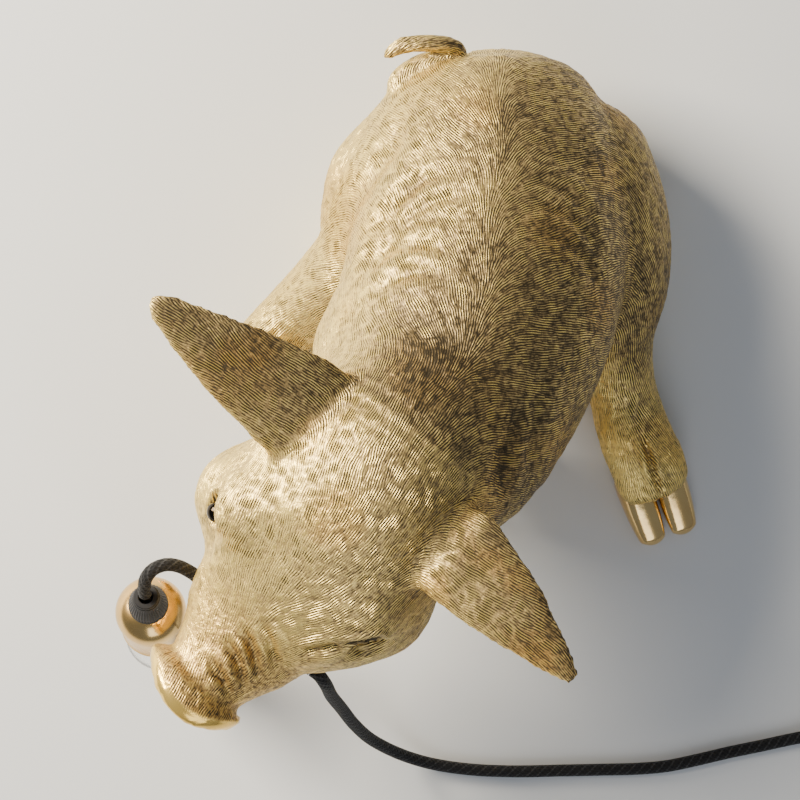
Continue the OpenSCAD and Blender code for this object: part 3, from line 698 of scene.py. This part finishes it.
def antique_gold():
    """Champagne gold over carved hair, with a dark patina left in the grooves, and painted shade on the right
    side, on top and in the folds.
    """
    s = Shader("antique_gold", Metallic=0.8)
    hair, cavity = s.attribute("hair"), s.attribute("cavity")
    polish, warm, muzzle = s.attribute("polish"), s.attribute("warm"), s.attribute("muzzle")
    across = s.attribute("across", "Vector")
    strands = []
    for scale, waves in ((172.0, 4.9), (235.0, 3.3)):
        strand = s.add("ShaderNodeTexGabor", {"gabor_type": "3D"}, Vector=s.place(), Scale=scale,
                       Frequency=waves, Anisotropy=0.94)
        s.put(strand.inputs[5], across)
        strands.append(strand.outputs["Value"])
    strand = s.math("MULTIPLY_ADD", strands[0], 0.68, s.math("MULTIPLY", strands[1], 0.32))
    curl = s.math("MULTIPLY_ADD", s.math("SUBTRACT", s.noise(760, 2, 0.5), 0.5), 0.45, 0.5)
    strand = s.math("ADD", s.math("MULTIPLY", strand, s.math("MULTIPLY_ADD", muzzle, -0.5, 1.0)),
                    s.math("MULTIPLY", curl, s.math("MULTIPLY", muzzle, 0.5)))
    broken = s.math("SUBTRACT", s.noise(420, 2, 0.6), 0.5)
    strand = s.math("MULTIPLY_ADD", broken, 0.26, strand)
    # How much gold shows through the dark patina, lowered where shade is painted.
    wear_and_shade = s.math("ADD", s.math("MULTIPLY_ADD", s.math("SUBTRACT", strand, 0.5), 3.0, 0.62),
                  s.math("MULTIPLY", hair, 0.10))
    # Darker in the folds, eye slits and mouth line: partly patina, partly painted shade.
    wear_and_shade = s.math("SUBTRACT", wear_and_shade, s.math("MULTIPLY", cavity, 0.12))
    # Painted shade on the right side and top, partly patina, darkens the gold here.
    wear_and_shade = s.math("SUBTRACT", wear_and_shade, s.math("MULTIPLY", s.attribute("shade_and_patina"), 0.44))
    wear_and_shade = s.math("ADD", wear_and_shade, s.math("MULTIPLY_ADD", s.noise(28, 4), 0.28, -0.14))
    wear_and_shade = s.math("ADD", wear_and_shade, s.math("MULTIPLY", polish, 0.6), clamp=True)
    gold = s.mix(warm, (0.97, 0.73, 0.22), (0.96, 0.63, 0.15))
    mid = s.mix(warm, (0.45, 0.32, 0.14), (0.48, 0.28, 0.085))
    low = s.mix(s.between(wear_and_shade, 0.06, 0.38), (0.075, 0.056, 0.030), mid)
    color = s.mix(s.between(wear_and_shade, 0.32, 0.70), low, gold)
    carved = s.math("MULTIPLY", strand, s.math("SUBTRACT", 1.0, polish))
    bump = s.bump(carved, 0.0011, 1.0)
    rough = s.math("SUBTRACT", s.between(wear_and_shade, 0.2, 0.7, 0.55, 0.36), s.math("MULTIPLY", polish, 0.14))
    return s.use(Base_Color=color, Normal=bump, Roughness=rough)


def polished(name, color, dark, rough=0.2, scale=30.0):
    """Smooth polished metal with faint smears and a slightly uneven surface."""
    s = Shader(name, Metallic=1.0)
    smear = s.noise(scale, 5, 0.6)
    tone = s.mix(s.between(smear, 0.35, 0.75), color, dark)
    bump = s.bump(s.noise(scale * 4, 3), 0.0004, 0.25)
    return s.use(Base_Color=tone, Normal=bump,
                 Roughness=s.between(smear, 0.3, 0.8, rough * 0.75, rough * 1.6))


def moulded(name, color, rough=0.45, grain=1800.0):
    """Moulded plastic with a fine spark-eroded grain."""
    s = Shader(name, Specular_IOR_Level=0.25)
    fine = s.noise(grain, 2)
    wear = s.noise(60, 4)
    tone = s.mix(s.between(wear, 0.3, 0.8), color, tuple(min(1.0, c * 1.7 + 0.01) for c in color))
    return s.use(Base_Color=tone, Roughness=s.between(wear, 0.3, 0.8, rough, rough + 0.15),
                 Normal=s.bump(fine, 0.0002, 0.5))


def textile():
    """Braided cord: dark threads over and under each other, some lighter, with painted shade in the gaps
    between threads.
    """
    s = Shader("textile_cord", Sheen_Weight=0.08, Sheen_Roughness=0.4, Specular_IOR_Level=0.25)
    braid = s.add("ShaderNodeSeparateXYZ", Vector=s.attribute("braid", "Vector"))
    u, v = braid.outputs[0], braid.outputs[1]
    half = BRAID_CARRIERS / 2
    threads = []
    for sign in (1, -1):
        turn = s.math("ADD", s.math("MULTIPLY", v, half), s.math("MULTIPLY", u, sign * half / 2))
        threads.append(turn)
    wave = [s.math("COSINE", s.math("MULTIPLY", t, 2 * math.pi)) for t in threads]
    fibre = s.math("SINE", s.math("MULTIPLY", threads[0], 2 * math.pi * 5))
    fibre2 = s.math("SINE", s.math("MULTIPLY", threads[1], 2 * math.pi * 5))
    top = s.math("MAXIMUM", wave[0], wave[1])
    pick = s.between(s.math("COSINE", s.math("MULTIPLY", threads[0], math.pi)), 0.2, 0.9)
    # Painted shade: darker in the gaps between threads, lighter on their crowns; every other carrier is
    # lighter.
    light = s.math("MULTIPLY", s.between(top, 0.2, 1.0), s.math("MULTIPLY_ADD", pick, 0.85, 0.15))
    fuzz = s.noise(2600, 3)
    color = s.mix(s.math("MULTIPLY", light, s.between(fuzz, 0.35, 0.7)), (0.008, 0.008, 0.009),
                  (0.10, 0.10, 0.105))
    height = s.math("ADD", top, s.math("MULTIPLY", s.math("ADD", fibre, fibre2), 0.2))
    return s.use(Base_Color=color, Roughness=s.between(fuzz, 0.3, 0.7, 0.55, 0.85),
                 Normal=s.bump(height, 0.0003, 0.7))


def felt():
    s = Shader("felt", Sheen_Weight=0.5, Roughness=0.95)
    fuzz = s.noise(1500, 4, 0.7)
    color = s.mix(fuzz, (0.03, 0.025, 0.02), (0.11, 0.09, 0.075))
    return s.use(Base_Color=color, Normal=s.bump(fuzz, 0.0006, 0.8))


def clear_glass():
    s = Shader("clear_glass", Transmission_Weight=1.0, IOR=1.45, Roughness=0.0)
    dust = s.noise(40, 4)
    return s.use(Base_Color=s.mix(s.between(dust, 0.4, 0.9), (1.0, 1.0, 1.0), (0.93, 0.95, 0.95)))


def phosphor():
    s = Shader("phosphor", Roughness=0.6)
    dots = s.noise(1500, 2)
    return s.use(Base_Color=s.mix(dots, (0.9, 0.55, 0.10), (0.95, 0.75, 0.25)),
                 Normal=s.bump(dots, 0.0002, 0.5))


def porcelain():
    s = Shader("porcelain", Roughness=0.2)
    spots = s.noise(90, 4)
    return s.use(Base_Color=s.mix(spots, (0.86, 0.85, 0.80), (0.78, 0.77, 0.72)))


MATERIALS = {
    "antique_gold": antique_gold(),
    "dark_patina": polished("dark_patina", (0.02, 0.016, 0.012), (0.06, 0.045, 0.03), 0.12),
    "polished_gold": polished("polished_gold", (0.93, 0.66, 0.28), (0.78, 0.48, 0.17), 0.17),
    "black_plastic": moulded("black_plastic", (0.012, 0.012, 0.013)),
    "black_grip": moulded("black_grip", (0.014, 0.014, 0.016), 0.38),
    "textile_cord": textile(),
    "felt": felt(),
    "steel": polished("steel", (0.62, 0.62, 0.63), (0.45, 0.45, 0.46), 0.25),
    "brass": polished("brass", (0.88, 0.60, 0.24), (0.66, 0.40, 0.13), 0.2),
    "porcelain": porcelain(),
    "nickel": polished("nickel", (0.75, 0.74, 0.71), (0.6, 0.59, 0.56), 0.2),
    "clear_glass": clear_glass(),
    "phosphor": phosphor(),
}


# ---------------------------------------------------------------- holder, bulb, hooves
HOLDER_AT = np.array([-132.5, -118.5, 102.0])
HANG_TILT, LEAN_AZIMUTH = math.radians(19), math.radians(85)


def hung(points):
    """Points about the holder's own upright axis, moved to where it hangs."""
    points = np.asarray(points, float)
    c, s = math.cos(HANG_TILT), math.sin(HANG_TILT)
    tilt = np.array([[c, 0, s], [0, 1, 0], [-s, 0, c]])
    c, s = math.cos(LEAN_AZIMUTH), math.sin(LEAN_AZIMUTH)
    turn = np.array([[c, -s, 0], [s, c, 0], [0, 0, 1]])
    return points @ (turn @ tilt).T + HOLDER_AT


def turned(name, outline, body, node, material, sides=96, shape=None, placing=hung):
    """A closed turned piece from its outline of (radius, height); shape can vary the radius."""
    outline = np.asarray(outline, float)
    m = len(outline)
    phi = np.linspace(0, 2 * math.pi, sides, endpoint=False)
    r = np.repeat(outline[:, :1], sides, axis=1)
    z = np.repeat(outline[:, 1:], sides, axis=1)
    if shape is not None:
        r = shape(r, z, phi[None, :])
    p = np.stack([r * np.cos(phi), r * np.sin(phi), z], axis=-1).reshape(-1, 3)
    i, k = np.meshgrid(np.arange(m), np.arange(sides), indexing="ij")
    i2, k2 = (i + 1) % m, (k + 1) % sides
    quads = np.stack([i * sides + k, i * sides + k2, i2 * sides + k2, i2 * sides + k], axis=-1).reshape(-1, 4)
    obj = make_object(name, placing(p), quads)
    work = bmesh.new()
    work.from_mesh(obj.data)
    bmesh.ops.remove_doubles(work, verts=work.verts, dist=2e-6)
    bmesh.ops.recalc_face_normals(work, faces=work.faces)
    work.to_mesh(obj.data)
    work.free()
    obj.data.materials.append(MATERIALS[material])
    obj.data.set_sharp_from_angle(angle=math.radians(38))
    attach(obj, body)
    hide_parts(node)


def rounded(points, radius=0.4, steps=4):
    """An outline whose corners are rounded."""
    points = [np.array(p, float) for p in points]
    out = []
    n = len(points)
    for i in range(n):
        a, b, c = points[i - 1], points[i], points[(i + 1) % n]
        if b[0] < 1e-6:
            out.append(b)
            continue
        u, v = a - b, c - b
        cut = min(radius, np.linalg.norm(u) * 0.45, np.linalg.norm(v) * 0.45)
        p, q = b + u / np.linalg.norm(u) * cut, b + v / np.linalg.norm(v) * cut
        for t in np.linspace(0, 1, steps + 1):
            out.append((1 - t) ** 2 * p + 2 * t * (1 - t) * b + t * t * q)
    return np.array(out)


DOME_R, DOME_H, SHEET = 18.0, 14.0, 1.2
SKIRT_H = 28.0
GRIP_BASE, GRIP_TOP = 14.5, 32.0
FLUTES, FLUTE_DEPTH = 40, 0.42


def add_holder():
    quarter = np.radians(np.linspace(0, 72, 25))
    high = math.sin(quarter[-1])
    outer = [(DOME_R * math.cos(a), DOME_H * math.sin(a) / high) for a in quarter]
    inner = [((DOME_R - SHEET) * math.cos(a), (DOME_H - SHEET) * math.sin(a) / high) for a in quarter[::-1]]
    turned("dome", outer + [(5.1, DOME_H), (5.1, DOME_H - SHEET)] + inner, "pendant", "holder_dome", "brass")
    r = DOME_R - 0.4
    skirt = [(r - SHEET, -0.1), (r, -0.1), (r - 0.1, -1.6), (r - 0.7, -2.2), (r - 0.7, -2.8), (r - 0.2, -3.4),
             (r - 0.6, -SKIRT_H + 4), (r - 0.5, -SKIRT_H + 3), (r, -SKIRT_H + 1.5), (r - 0.2, -SKIRT_H),
             (r - SHEET, -SKIRT_H), (r - SHEET - 0.6, -SKIRT_H + 3)]
    turned("skirt", rounded(skirt, 0.35), "pendant", "holder_skirt", "brass")

    def fluted(r, z, phi):
        on_side = np.clip((r - CORD_R - 1.6) / 0.6, 0, 1) * np.clip((z - GRIP_BASE - 2.4) / 1.0, 0, 1)
        on_side = on_side * np.clip((GRIP_TOP - 2.2 - z) / 1.0, 0, 1)
        return r - FLUTE_DEPTH * on_side * (0.5 + 0.5 * np.cos(phi * FLUTES)) ** 0.7

    bell = catmull([(10.0, GRIP_BASE + 2.6, 0), (9.7, GRIP_BASE + 5.2, 0), (8.6, GRIP_BASE + 8.6, 0),
                    (7.4, GRIP_BASE + 12, 0), (6.9, GRIP_TOP - 2.6, 0)], 6)[:, :2].tolist()
    grip = [(3.5, GRIP_BASE), (9.6, GRIP_BASE), (10.0, GRIP_BASE + 0.5), (10.0, GRIP_BASE + 1.9),
            (9.7, GRIP_BASE + 2.3)] + bell + [(6.4, GRIP_TOP - 2.3), (6.4, GRIP_TOP - 0.5),
                                              (5.9, GRIP_TOP), (3.9, GRIP_TOP), (3.5, GRIP_TOP - 0.5)]
    turned("ribbed_grip", grip, "pendant", "cord_grip", "black_grip", sides=240, shape=fluted)


CAP_TOP, GLASS_TOP, BULB_H, BULB_R = -8.0, -26.0, 70.0, 17.45
CAP_R = 6.9
GLASS_T = 0.7
THREAD_PITCH, THREAD_DEPTH = 2.82, 0.35


def add_bulb():
    def glass_radius(f):
        if f < 0.4:
            return BULB_R * (0.44 + 0.56 * math.sin(f / 0.4 * math.pi / 2))
        return BULB_R * math.cos((f - 0.4) / 0.6 * math.pi / 2) ** 0.72

    steps = np.linspace(0, 1, 61) ** 0.9
    outer = [(glass_radius(f), GLASS_TOP - BULB_H * f) for f in steps[:-1]] + [(0, GLASS_TOP - BULB_H)]
    inner = [(max(glass_radius(f) - GLASS_T, 0), GLASS_TOP - (BULB_H - GLASS_T) * f)
             for f in steps[:-1][::-1]]
    turned("glass_envelope", outer + [(0, GLASS_TOP - BULB_H + GLASS_T)] + inner, "bulb", "bulb_glass",
           "clear_glass")

    def threaded(r, z, phi):
        groove = THREAD_DEPTH * (0.5 - 0.5 * np.sin(2 * math.pi * z / THREAD_PITCH + phi))
        return r - groove * (r > CAP_R - 0.2) * (z < CAP_TOP - 2) * (z > GLASS_TOP + 2)

    side = [(CAP_R, z) for z in np.linspace(CAP_TOP - 1.5, GLASS_TOP + 0.1, 90)]
    cap = [(0, CAP_TOP - 1), (0, CAP_TOP), (CAP_R - 1, CAP_TOP), (CAP_R, CAP_TOP - 1.4)] + side
    cap += [(CAP_R - 0.5, GLASS_TOP), (CAP_R - 0.6, CAP_TOP - 1)]
    turned("screw_cap", cap, "bulb", "bulb_base_shell", "nickel", shape=threaded)
    end = GLASS_TOP - 14
    stem = [(0, CAP_TOP - 2), (3, CAP_TOP - 2), (3, GLASS_TOP), (2.2, GLASS_TOP - 6), (1.7, end + 1),
            (2.0, end), (0, end)]
    turned("glass_stem", rounded(stem, 0.8), "bulb", "bulb_stem", "clear_glass", sides=48)


CLAW_GRID = 0.8
CLAW_SQUARENESS = 2.6
SOLE_Z, SOLE_H = 4.5, 4.0


def claw_skin(name, claw, node):
    """The two claws of one foot as one polished casting, split by a cleft."""
    middle, tip = (np.array(v, float) for v in claw)
    way = unit(tip - middle)
    across = np.array([way[1], -way[0]])
    low = np.array([*(np.minimum(middle, tip) - 20), 0.0])
    high = np.array([*(np.maximum(middle, tip) + 20), 24.0])
    shape = ((high - low) / CLAW_GRID).astype(int) + 1
    x, y, z = np.meshgrid(*[low[k] + CLAW_GRID * np.arange(shape[k]) for k in range(3)], indexing="ij")
    d = np.full(x.shape, 30.0)
    reach = np.linalg.norm(tip - middle)
    along = (x - middle[0]) * way[0] + (y - middle[1]) * way[1]
    f = np.clip(along / (reach - 3.2), 0, 1)
    half = 9.8 - 2.4 * f ** 2.6
    tall = 14.0 - 7.5 * f ** 1.2
    for side in (-1, 1):
        lateral = (x - middle[0]) * across[0] + (y - middle[1]) * across[1] - side * (9.7 - 0.9 * f)
        q = (np.abs(lateral / half) ** CLAW_SQUARENESS
             + (np.clip(z - SOLE_Z, 0, None) / tall) ** CLAW_SQUARENESS
             + (np.clip(SOLE_Z - z, 0, None) / SOLE_H) ** CLAW_SQUARENESS) ** (1 / CLAW_SQUARENESS)
        inner_face = -side * lateral - half * 0.9
        body = np.maximum((q - 1) * half * 0.7, inner_face)
        back, front = -along - 7, along - reach + 3.4 * q ** 2
        d = np.minimum(d, np.maximum(np.maximum(body, back), front))
    d = np.maximum(d, FOOT - z)
    grid = openvdb.FloatGrid(30.0)
    grid.copyFromArray(d.astype(np.float32))
    points, quads = grid.convertToQuads(0.0)
    obj = make_object(name, low + points * CLAW_GRID, quads)
    smooth = obj.modifiers.new("smooth", "SMOOTH")
    smooth.iterations = 4
    smooth.factor = 0.5
    obj.data.materials.append(MATERIALS["polished_gold"])
    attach(obj, "pig")
    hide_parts(node)


# Where the two claws of each foot start and end in plan
CLAWS = {
    "hoof_hind_right": ((132.5, -57), (143.5, -88)),
    "hoof_hind_left": ((-86, 13), (-99, 1)),
    "hoof_front_left": ((-25, -43), (-27, -61)),
    "hoof_front_right": ((47, -44), (50, -61)),
}
EYE_R = 5.5
# How far the eyeballs are sunk into the head, inwards and downwards
EYE_IN, EYE_DOWN = 2.8, np.array([0, 0, 3.8])


def add_eyes():
    angles = np.linspace(-math.pi / 2, math.pi / 2, 24)
    outline = [(max(EYE_R * math.cos(a), 0), EYE_R * math.sin(a)) for a in angles]
    for name, at, inward in (("eye_left", EYES[0], 1), ("eye_right", EYES[1], -1)):
        centre = at + HEAD_SIDE * inward * EYE_IN - EYE_DOWN
        turned(name + "_ball", outline, "pig", name, "dark_patina", sides=48, placing=lambda p: p + centre)


def dress_cad():
    """Materials and small edge rounds for the CAD pieces that are shown as they are."""
    slots = {row["node"]: row["material_slot"] for row in frame["record"]["subparts"]}
    for node, obj in frame["nodes"].items():
        obj.data.materials.clear()
        obj.data.materials.append(MATERIALS[slots[node]])
        if node in ("cord_lead", "cord_run", "cord_coil", "cord_end", "cord_pendant"):
            continue
        if not obj.hide_render:
            bevel = obj.modifiers.new("edges", "BEVEL")
            bevel.width = 0.0004
            bevel.segments = 2
            bevel.limit_method = "ANGLE"
            bevel.angle_limit = math.radians(35)


# ---------------------------------------------------------------- studio
LIT_POINT = Vector((0, 0, 0.05))
FLOOR_HALF = 9000


def area_light(name, at, size, power, color=(1, 1, 1)):
    light = bpy.data.lights.new(name, "AREA")
    light.shape = "RECTANGLE"
    light.size, light.size_y = size
    light.energy = power
    light.color = color
    obj = bpy.data.objects.new(name, light)
    obj.location = at
    obj.rotation_euler = (LIT_POINT - Vector(at)).to_track_quat("-Z", "Y").to_euler()
    bpy.context.scene.collection.objects.link(obj)


def add_studio():
    far = FLOOR_HALF
    floor = make_object("floor", [(-far, -far, 0), (far, -far, 0), (far, far, 0), (-far, far, 0)],
                        [(0, 1, 2, 3)], smooth=False)
    s = Shader("pale_floor", Roughness=0.7)
    tone = s.mix(s.noise(6, 3), (0.77, 0.79, 0.81), (0.73, 0.75, 0.77))
    floor.data.materials.append(s.use(Base_Color=tone))
    world = bpy.data.worlds.new("studio")
    bpy.context.scene.world = world
    world.use_nodes = True
    sky = world.node_tree.nodes["Background"]
    sky.inputs["Color"].default_value = (0.79, 0.87, 1.0, 1)
    sky.inputs["Strength"].default_value = 0.24
    area_light("key", (-1.15, 0.65, 1.0), (0.8, 0.8), 86, color=(1.0, 0.90, 0.73))
    area_light("fill", (0.2, -1.3, 1.1), (0.9, 0.9), 6)


add_camera()
for piece in add_cords():
    piece.data.materials.append(MATERIALS["textile_cord"])
add_figure()
add_holder()
add_bulb()
for hoof, points in CLAWS.items():
    claw_skin(hoof + "_skin", points, hoof)
add_eyes()
dress_cad()
add_studio()
